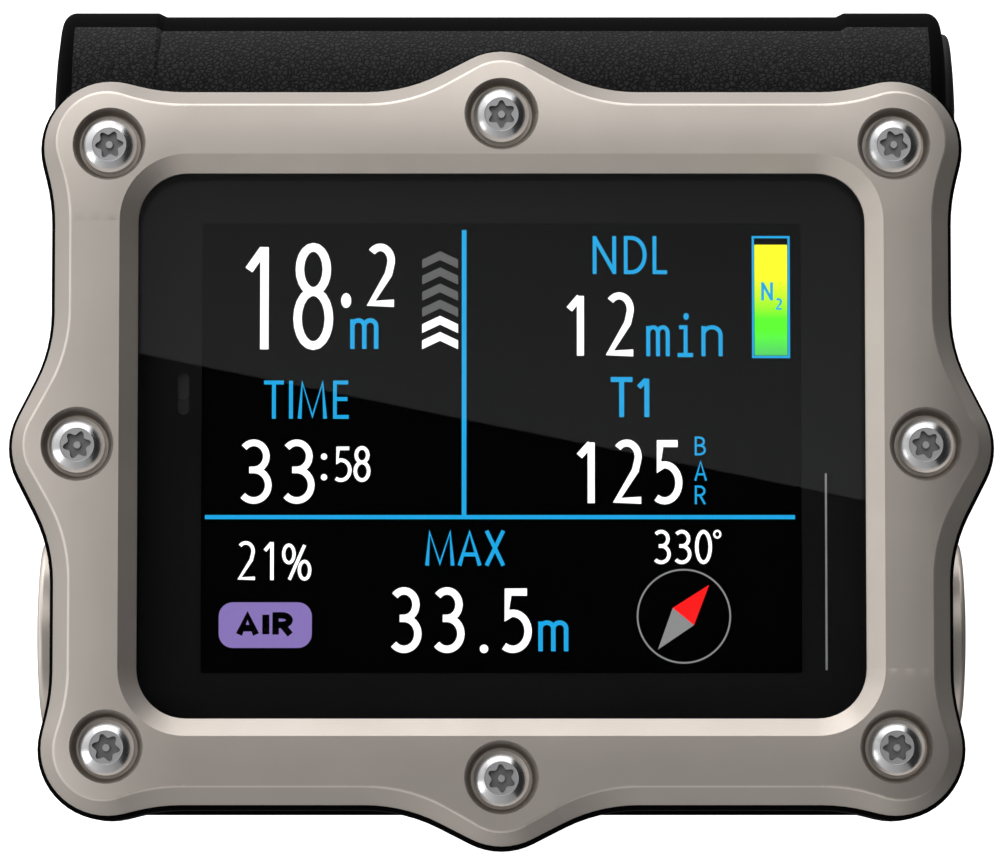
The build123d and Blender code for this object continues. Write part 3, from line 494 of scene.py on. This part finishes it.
drive(bar_colours, "Emission Color", blend_colours(
    bar_colours, bar_share, (0.0, (0.075, 0.56, 0.13)), (0.25, (0.09, 1.0, 0.012)),
    (0.35, (0.09, 1.0, 0.012)), (0.75, (1.0, 1.0, 0.009)), (1.0, (1.0, 1.0, 0.009))))
bar_fill = [(BAR_LEFT + 0.13, BAR_LOW + 0.13), (BAR_RIGHT - 0.13, BAR_LOW + 0.13),
            (BAR_RIGHT - 0.13, BAR_LEVEL), (BAR_LEFT + 0.13, BAR_LEVEL)]
screen_piece("loading_fill", [filled(bar_fill)], bar_colours)
bar_signs = [("N", 22.25, 23.25, 12.35, 14.0, 0.24), ("2", 23.45, 24.05, 11.6, 12.6, 0.18)]
bar_parts = [([(x, y, z + LETTER_LIFT) for x, y, z in points], faces)
             for sign in bar_signs for points, faces in character(*sign)]
screen_piece("loading_letters", bar_parts, screen_blue)

# Compass: a thin ring and a two-coloured needle.
COMPASS_U, COMPASS_V, COMPASS_RADIUS = 15.6, -14.35, 3.93
screen_piece("compass_ring", [thick_line(bow(COMPASS_U, COMPASS_V, COMPASS_RADIUS, COMPASS_RADIUS, steps=72),
                                         0.14, True)], screen_dim)
NEEDLE_WAIST = [(14.65, -13.65), (16.45, -15.1)]
screen_piece("needle_north", [filled([NEEDLE_WAIST[0], NEEDLE_WAIST[1], (17.75, -11.7)])], screen_red)
screen_piece("needle_south", [filled([NEEDLE_WAIST[1], NEEDLE_WAIST[0], (13.4, -17.15)])], screen_dim)

cell_black = grained("cell_black", (0.0006, 0.0006, 0.0007), 0.0, 0.5, 0.4, 0.1, 0.0)
shader_of(cell_black).inputs["Specular IOR Level"].default_value = 0.02
dress(cell_black, "display_panel")


# Bezel and buttons. The ring is milled from titanium and bead-blasted, which leaves a fine satin
# grain; the two push buttons are turned from the same bar. The ring's screws are polished stainless
# steel with faint rings left by the lathe; their colour is painted darker inside the recess as painted
# shade, and is darker on the flat round it.
titanium = finish("blasted_titanium", (0.64, 0.58, 0.525), 1.0, 0.4)
titanium_place = object_place(titanium)
blast = noise(titanium, titanium_place, 0.13)
blotch = noise(titanium, titanium_place, 6.0, 2.0)
drive(titanium, "Base Color", blend_colours(
    titanium, blotch, (0.3, (0.625, 0.566, 0.512)), (0.7, (0.655, 0.594, 0.538))))
drive(titanium, "Roughness", rescale(titanium, blast, 0.3, 0.7, 0.38, 0.46))
raise_surface(titanium, blast, 0.0035)
dress(titanium, "bezel", "button_left", "button_right")

SCREW_SPOTS = ((36.0, 0.0), (33.4, 25.65), (0.0, 28.25))
RECESS_TOP, RECESS_RADIUS, PIN_RADIUS, FLAT_RADIUS = 36.65, 1.34, 0.36, 1.42
SCREW_LATHE_RINGS = 60000.0
screw_steel = finish("screw_steel", (0.78, 0.78, 0.79), 1.0, 0.16)
screw_axes = add(screw_steel, "ShaderNodeSeparateXYZ", {"Vector": object_place(screw_steel)}).outputs
screw_x = math_node(screw_steel, "ABSOLUTE", screw_axes["X"])
screw_rise = math_node(screw_steel, "SUBTRACT", screw_axes["Y"], WINDOW_Y * MM)
screw_y = math_node(screw_steel, "ABSOLUTE", screw_rise)
nearest = 1.0
for spot_x, spot_y in SCREW_SPOTS:
    off_x = math_node(screw_steel, "SUBTRACT", screw_x, spot_x * MM)
    off_y = math_node(screw_steel, "SUBTRACT", screw_y, spot_y * MM)
    offset = add(screw_steel, "ShaderNodeCombineXYZ", {"X": off_x, "Y": off_y}).outputs[0]
    distance = add(screw_steel, "ShaderNodeVectorMath", {0: offset}, operation="LENGTH").outputs["Value"]
    nearest = math_node(screw_steel, "MINIMUM", nearest, distance)
in_recess = math_node(screw_steel, "LESS_THAN", nearest, RECESS_RADIUS * MM)
off_pin = math_node(screw_steel, "GREATER_THAN", nearest, PIN_RADIUS * MM)
sunk = math_node(screw_steel, "LESS_THAN", screw_axes["Z"], RECESS_TOP * MM)
painted_recess_shade = math_node(screw_steel, "MULTIPLY", sunk, math_node(screw_steel, "MULTIPLY", in_recess, off_pin))
on_flat = math_node(screw_steel, "LESS_THAN", nearest, FLAT_RADIUS * MM)
turning = math_node(screw_steel, "SINE", math_node(screw_steel, "MULTIPLY", nearest, SCREW_LATHE_RINGS))
painted_shade_and_flat_share = math_node(screw_steel, "MAXIMUM", painted_recess_shade, math_node(screw_steel, "MULTIPLY", on_flat, 0.3))
# Steel colour is painted darker inside the driver recess as painted shade, and a little darker on the flat
# round it.
drive(screw_steel, "Base Color", blend_colours(
    screw_steel, painted_shade_and_flat_share,
    (0.0, (0.78, 0.78, 0.79)), (0.3, (0.55, 0.55, 0.56)), (1.0, (0.26, 0.26, 0.265))))
flat_rough = rescale(screw_steel, on_flat, 0.0, 1.0, 0.15, 0.42)
drive(screw_steel, "Roughness", math_node(
    screw_steel, "ADD", flat_rough, rescale(screw_steel, turning, -1.0, 1.0, 0.0, 0.03)))
raise_surface(screw_steel, turning, 0.0006)
dress(screw_steel, "bezel_screws")


# Bezel screws. Eight stainless M2.5 button heads, turned, polished and broached with a pinned recess.
# One screw is repeated at eight places, each stopped at its own angle when it was tightened.
SCREW_SEAT, HEAD_EDGE, HEAD_TOP, RECESS_FLOOR = 35.3, 36.46, 36.8, 36.1
HEAD_RADIUS, DOME_RADIUS, PIN_TOP = 2.35, 5.36, 36.62
DOME_OUTER_SLOPE, DOME_INNER_SLOPE = math.radians(26.0), math.radians(15.7)
SHANK_TIP, SHANK_RADIUS, SHANK_POINT = 29.5, 1.25, 0.4
EDGE_BREAK, FLAT_DROP = 0.1, 0.06
SCREW_TURNS = ((36.0, 0.0, 45), (33.4, 25.65, 50), (0.0, 28.25, 30), (-33.4, 25.65, 5),
               (-36.0, 0.0, 10), (-33.4, -25.65, 49), (0.0, -28.25, 34), (33.4, -25.65, 2))


def ring_of(radius, height, steps=96):
    """Level circle about the origin."""
    return [(radius * math.cos(math.tau * step / steps), radius * math.sin(math.tau * step / steps), height)
            for step in range(steps)]


def lobed_ring(inner, outer, height, steps=96):
    """Level six-lobed outline about the origin."""
    points = []
    for step in range(steps):
        angle = math.tau * step / steps
        reach = inner + (outer - inner) * (0.5 + 0.5 * math.cos(6 * angle)) ** 1.2
        points.append((reach * math.cos(angle), reach * math.sin(angle), height))
    return points


dome_rings = []
for step in range(9):
    slope = DOME_OUTER_SLOPE + (DOME_INNER_SLOPE - DOME_OUTER_SLOPE) * step / 8
    drop = DOME_RADIUS * (math.cos(DOME_INNER_SLOPE) - math.cos(slope))
    dome_rings.append(ring_of(DOME_RADIUS * math.sin(slope), HEAD_TOP - drop))
screw_rings = [ring_of(SHANK_RADIUS - SHANK_POINT, SHANK_TIP),
               ring_of(SHANK_RADIUS, SHANK_TIP + SHANK_POINT), ring_of(SHANK_RADIUS, SCREW_SEAT),
               ring_of(HEAD_RADIUS - EDGE_BREAK, SCREW_SEAT),
               ring_of(HEAD_RADIUS, SCREW_SEAT + EDGE_BREAK),
               ring_of(HEAD_RADIUS, HEAD_EDGE - 0.08), *dome_rings, ring_of(1.4, HEAD_TOP - FLAT_DROP),
               lobed_ring(0.84, 1.21, HEAD_TOP - FLAT_DROP), lobed_ring(0.8, 1.15, RECESS_FLOOR),
               ring_of(PIN_RADIUS, RECESS_FLOOR), ring_of(0.315, PIN_TOP - 0.03),
               ring_of(0.28, PIN_TOP)]
screw_form = piece("screw_form", *stack(screw_rings), screw_steel, "screw_steel")
screw_form.data.polygons.foreach_set("use_smooth", [True] * len(screw_form.data.polygons))
screw_form.data.set_sharp_from_angle(angle=math.radians(32))

spots = bpy.data.meshes.new("bezel_screw_set")
spots.from_pydata([(x * MM, (y + WINDOW_Y) * MM, 0.0) for x, y, turn in SCREW_TURNS], [], [])
turns = spots.attributes.new("turn", "FLOAT", "POINT")
turns.data.foreach_set("value", [math.radians(turn) for x, y, turn in SCREW_TURNS])
screw_set = bpy.data.objects.new("bezel_screw_set", spots)
bpy.context.scene.collection.objects.link(screw_set)
grow = bpy.data.node_groups.new("repeat_screw", "GeometryNodeTree")
grow.interface.new_socket("Geometry", in_out="INPUT", socket_type="NodeSocketGeometry")
form_socket = grow.interface.new_socket("Screw", in_out="INPUT", socket_type="NodeSocketObject")
steel_socket = grow.interface.new_socket("Steel", in_out="INPUT", socket_type="NodeSocketMaterial")
grow.interface.new_socket("Geometry", in_out="OUTPUT", socket_type="NodeSocketGeometry")
taken_in = grow.nodes.new("NodeGroupInput")
form_info = grow.nodes.new("GeometryNodeObjectInfo")
turn_read = grow.nodes.new("GeometryNodeInputNamedAttribute")
turn_read.inputs["Name"].default_value = "turn"
about_z = grow.nodes.new("ShaderNodeCombineXYZ")
place_each = grow.nodes.new("GeometryNodeInstanceOnPoints")
made_real = grow.nodes.new("GeometryNodeRealizeInstances")
in_steel = grow.nodes.new("GeometryNodeSetMaterial")
given_out = grow.nodes.new("NodeGroupOutput")
for source, target in ((taken_in.outputs["Screw"], form_info.inputs["Object"]),
                       (taken_in.outputs["Geometry"], place_each.inputs["Points"]),
                       (form_info.outputs["Geometry"], place_each.inputs["Instance"]),
                       (turn_read.outputs["Attribute"], about_z.inputs["Z"]),
                       (about_z.outputs[0], place_each.inputs["Rotation"]),
                       (place_each.outputs[0], made_real.inputs[0]),
                       (made_real.outputs[0], in_steel.inputs["Geometry"]),
                       (taken_in.outputs["Steel"], in_steel.inputs["Material"]),
                       (in_steel.outputs[0], given_out.inputs["Geometry"])):
    grow.links.new(source, target)
repeat = screw_set.modifiers.new("repeat_screw", "NODES")
repeat.node_group = grow
repeat[form_socket.identifier] = screw_form
repeat[steel_socket.identifier] = screw_steel
seen_scene = bpy.context.evaluated_depsgraph_get()
screw_set.data = bpy.data.meshes.new_from_object(screw_set.evaluated_get(seen_scene))
screw_set.modifiers.clear()
bpy.data.objects.remove(screw_form)
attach(screw_set, "case")
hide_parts("bezel_screws")


# Battery cap. Black anodised plug that screws into the end of the barrel. It is turned from bar, which
# leaves fine rings on its face.
CAP_LATHE_RINGS = 20000.0
cap_black = finish("cap_black", (0.009, 0.009, 0.0095), 0.0, 0.4)
shader_of(cap_black).inputs["Specular IOR Level"].default_value = 0.1
cap_axes = add(cap_black, "ShaderNodeSeparateXYZ", {"Vector": object_place(cap_black)}).outputs
cap_y = math_node(cap_black, "SUBTRACT", cap_axes["Y"], BARREL_Y * MM)
cap_z = math_node(cap_black, "SUBTRACT", cap_axes["Z"], BARREL_Z * MM)
cap_radius = math_node(cap_black, "SQRT", math_node(
    cap_black, "ADD", math_node(cap_black, "MULTIPLY", cap_y, cap_y),
    math_node(cap_black, "MULTIPLY", cap_z, cap_z)))
turned = math_node(cap_black, "SINE", math_node(cap_black, "MULTIPLY", cap_radius, CAP_LATHE_RINGS))
drive(cap_black, "Roughness", rescale(cap_black, turned, -1.0, 1.0, 0.34, 0.44))
raise_surface(cap_black, turned, 0.002)
dress(cap_black, "battery_cap")


# Cradle. Black moulded rear plate with two rails that take the strap and rest on the forearm. Screws
# hold it to the back of the case.
cradle_black = grained("cradle_black", (0.016, 0.016, 0.017), 0.0, 0.55, 0.35, 0.15, 0.012)
dress(cradle_black, "strap_cradle")


# Small parts. The metal, rubber and moulded pieces inside and underneath, from the sensor and its guard
# to the boards and the battery, each in the finish it is made with.
stainless = grained("turned_stainless", (0.6, 0.6, 0.6), 1.0, 0.28, 0.2, 0.06, 0.001)
dress(stainless, "cradle_screws", "sensor_guard", "pressure_sensor", "thread_ring", "chassis_screws",
      "board_screws", "button_sleeve_left", "button_sleeve_right", "button_clip_left", "button_clip_right")
brass = grained("turned_brass", (0.72, 0.5, 0.2), 1.0, 0.3, 0.2, 0.08, 0.001)
dress(brass, "bezel_inserts", "cradle_inserts", "sensor_retainer")
nitrile = grained("seal_nitrile", (0.02, 0.02, 0.02), 0.0, 0.6, 0.15, 0.15, 0.003)
dress(nitrile, "window_seal", "sensor_seal", "cap_seal", "button_seals_left", "button_seals_right")
nickel = grained("nickel_plate", (0.68, 0.65, 0.58), 1.0, 0.18, 0.3, 0.05, 0.0005)
dress(nickel, "cap_contact_spring", "battery_contact", "button_spring_left", "button_spring_right")
cell_wrap = grained("cell_sleeve", (0.05, 0.06, 0.075), 0.0, 0.3, 2.0, 0.1, 0.002)
dress(cell_wrap, "battery_cell")
nylon = grained("moulded_nylon", (0.05, 0.05, 0.052), 0.0, 0.55, 0.3, 0.12, 0.006)
dress(nylon, "contact_carrier", "chassis")
lead_red = grained("lead_silicone", (0.35, 0.02, 0.015), 0.0, 0.5, 0.5, 0.08, 0.002)
dress(lead_red, "battery_leads")
tray_white = grained("tray_white", (0.75, 0.75, 0.74), 0.0, 0.45, 0.5, 0.04, 0.002)
dress(tray_white, "display_backlight")
solder_mask = grained("solder_mask", (0.01, 0.12, 0.045), 0.0, 0.35, 1.2, 0.2, 0.004)
dress(solder_mask, "circuit_board", "switch_board_left", "switch_board_right")
package_black = grained("package_black", (0.02, 0.02, 0.021), 0.0, 0.5, 0.12, 0.12, 0.003)
dress(package_black, "board_chips", "compass_sensor", "light_sensor", "button_switch_left",
      "button_switch_right")
tinned_steel = grained("tinned_steel", (0.66, 0.66, 0.63), 1.0, 0.32, 0.8, 0.06, 0.001)
dress(tinned_steel, "board_shield", "radio_module", "vibration_motor")
polyimide = grained("polyimide", (0.42, 0.2, 0.03), 0.0, 0.3, 0.5, 0.1, 0.001)
dress(polyimide, "display_ribbon")
ferrite = grained("sintered_ferrite", (0.03, 0.03, 0.032), 0.1, 0.5, 0.2, 0.15, 0.006)
dress(ferrite, "receiver_core")
copper = grained("enamelled_copper", (0.7, 0.26, 0.1), 1.0, 0.25, 0.2, 0.08, 0.002)
dress(copper, "receiver_coil")


# Studio. A pale floor, a surround that is brighter beyond the barrel and on the left, and one long soft
# box overhead whose edge crosses the glass, with a black flag beside it. Two low lights, beyond the
# barrel and on the left, pick out the screw heads, and a black flag on the right shades them.
FLOOR_REACH = 4.0
floor_pale = finish("floor_pale", (0.9, 0.9, 0.9), 0.0, 0.9)
floor_tone = noise(floor_pale, object_place(floor_pale), 900.0)
drive(floor_pale, "Emission Color", blend_colours(
    floor_pale, floor_tone, (0.0, (1.0, 1.0, 1.0)), (1.0, (0.995, 0.995, 0.995))))
shader_of(floor_pale).inputs["Emission Strength"].default_value = 1.05


def card(name, corners, material):
    """Flat studio panel through corners given in metres."""
    mesh = bpy.data.meshes.new(name)
    mesh.from_pydata(corners, [], [list(range(len(corners)))])
    mesh.materials.append(material)
    made = bpy.data.objects.new(name, mesh)
    bpy.context.scene.collection.objects.link(made)
    return made


floor = card("floor", [(-FLOOR_REACH, -FLOOR_REACH, 0.0), (FLOOR_REACH, -FLOOR_REACH, 0.0),
                       (FLOOR_REACH, FLOOR_REACH, 0.0), (-FLOOR_REACH, FLOOR_REACH, 0.0)], floor_pale)
floor.visible_glossy = False
floor.visible_diffuse = False
floor.visible_transmission = False

CARD_HEIGHT = 1.236
EDGE_LEFT, EDGE_RIGHT = Vector((-0.104, 0.120)), Vector((0.106, 0.0773))
edge_way = (EDGE_RIGHT - EDGE_LEFT).normalized()
box_left, box_right = EDGE_LEFT - 0.7 * edge_way, EDGE_RIGHT + 0.2 * edge_way
away = Vector((-edge_way.y, edge_way.x))
BOX_DEPTH = 1.2
box_glow = finish("soft_box", (0.0, 0.0, 0.0), 0.0, 1.0)
shader_of(box_glow).inputs["Emission Strength"].default_value = 1.8
box_reach = add(box_glow, "ShaderNodeVectorMath", {0: object_place(box_glow), 1: (away.x, away.y, 0.0)},
                operation="DOT_PRODUCT").outputs["Value"]
box_start = EDGE_LEFT.dot(away)
box_share = rescale(box_glow, box_reach, box_start, box_start + BOX_DEPTH, 0.0, 1.0)
drive(box_glow, "Emission Color", blend_colours(
    box_glow, box_share, (0.0, (0.36, 0.36, 0.36)), (0.1, (0.18, 0.18, 0.18)), (0.25, (0.5, 0.5, 0.5)),
    (0.45, (0.9, 0.9, 0.9)), (1.0, (0.8, 0.8, 0.8))))
flag_black = finish("flag_black", (0.0, 0.0, 0.0), 0.0, 1.0)


def overhead(name, first, second, depth, direction, material):
    """Level panel from an edge, reaching depth in a direction."""
    third, fourth = second + depth * direction, first + depth * direction
    made = card(name, [(*spot, CARD_HEIGHT) for spot in (first, second, third, fourth)], material)
    made.visible_camera = False
    return made


overhead("soft_box", box_left, box_right, BOX_DEPTH, away, box_glow)
overhead("black_flag", EDGE_LEFT - 0.12 * edge_way, EDGE_RIGHT + 0.12 * edge_way, 0.22, -away, flag_black)


def low_light(name, first_angle, last_angle, low_angle, high_angle, material, distance=1.6):
    """Upright panel round the object between two bearings and two elevations, in degrees."""
    corners = []
    for bearing, elevation in ((first_angle, low_angle), (last_angle, low_angle),
                               (last_angle, high_angle), (first_angle, high_angle)):
        turn, rise = math.radians(bearing), math.radians(elevation)
        corners.append((distance * math.cos(turn), distance * math.sin(turn), distance * math.tan(rise)))
    made = card(name, corners, material)
    made.visible_camera = False
    return made


low_glow = finish("low_light", (0.0, 0.0, 0.0), 0.0, 1.0)
shader_of(low_glow).inputs["Emission Strength"].default_value = 2.2
low_fade = noise(low_glow, object_place(low_glow), 900.0, 1.0)
drive(low_glow, "Emission Color", blend_colours(
    low_glow, low_fade, (0.0, (0.97, 0.97, 0.97)), (1.0, (1.0, 1.0, 1.0))))
low_light("far_light", 85.0, 130.0, 36.0, 50.0, low_glow)
low_light("left_light", 188.0, 215.0, 34.0, 54.0, low_glow)
low_light("right_flag", -50.0, 58.0, 28.0, 58.0, flag_black)

world = bpy.data.worlds.new("surround")
bpy.context.scene.world = world
world.use_nodes = True
tree = world.node_tree
tree.nodes.clear()


def world_node(kind, inputs=None, **settings):
    """Node in the surround's tree, joined by name or number."""
    node = tree.nodes.new(kind)
    for key, value in settings.items():
        setattr(node, key, value)
    for key, value in (inputs or {}).items():
        if isinstance(value, bpy.types.NodeSocket):
            tree.links.new(value, node.inputs[key])
        else:
            node.inputs[key].default_value = value
    return node


def world_level(axis, *stops):
    """Brightness along one direction axis, from stops of direction and level."""
    share = world_node("ShaderNodeMapRange", {"Value": axis, "From Min": -1.0, "From Max": 1.0})
    ramp = world_node("ShaderNodeValToRGB", {"Fac": share.outputs[0]})
    elements = ramp.color_ramp.elements
    ramp.color_ramp.interpolation = "EASE"
    top = max(level for position, level in stops)
    for number, (position, level) in enumerate(stops):
        spot = (position + 1) / 2
        element = elements[number] if number < 2 else elements.new(spot)
        element.position = spot
        element.color = (level / top, level / top, level / top, 1.0)
    scaled = world_node("ShaderNodeMath", {0: ramp.outputs["Color"], 1: top}, operation="MULTIPLY")
    return scaled.outputs[0]


direction = world_node("ShaderNodeTexCoord").outputs["Generated"]
axes = world_node("ShaderNodeSeparateXYZ", {"Vector": direction}).outputs
level_y = world_level(axes["Y"], (-1.0, 0.7), (-0.72, 0.39), (0.0, 0.335), (0.7, 0.7), (1.0, 2.3))
level_x = world_level(axes["X"], (-1.0, 3.3), (-0.7, 1.85), (0.0, 1.0), (0.35, 0.72), (1.0, 0.35))
level_z = world_level(axes["Z"], (-1.0, 0.5), (-0.6, 0.8), (0.1, 1.0), (1.0, 1.0))
level = world_node("ShaderNodeMath", {0: level_x, 1: level_y}, operation="MULTIPLY").outputs[0]
level = world_node("ShaderNodeMath", {0: level, 1: level_z}, operation="MULTIPLY").outputs[0]
surround = world_node("ShaderNodeBackground", {"Color": (1.0, 1.0, 1.0, 1.0), "Strength": level})
backdrop = world_node("ShaderNodeBackground", {"Color": (1.0, 1.0, 1.0, 1.0), "Strength": 1.0})
seen = world_node("ShaderNodeLightPath").outputs["Is Camera Ray"]
mixed = world_node("ShaderNodeMixShader", {"Fac": seen, 1: surround.outputs[0], 2: backdrop.outputs[0]})
world_node("ShaderNodeOutputWorld", {"Surface": mixed.outputs[0]})

CAMERA_DISTANCE, CAMERA_TILT, CAMERA_LENS = 0.5, math.radians(4.7), 212.4
TARGET = Vector((-0.000127, -0.00169, 0.037))
camera_data = bpy.data.cameras.new("camera")
camera_data.lens = CAMERA_LENS
camera_data.sensor_width = 36.0
camera_data.clip_start = 0.01
camera = bpy.data.objects.new("camera", camera_data)
camera.location = TARGET + CAMERA_DISTANCE * Vector((0.0, -math.sin(CAMERA_TILT), math.cos(CAMERA_TILT)))
camera.rotation_euler = (CAMERA_TILT, 0.0, 0.0)
bpy.context.scene.collection.objects.link(camera)
bpy.context.scene.camera = camera
bpy.context.scene.view_settings.view_transform = "Standard"
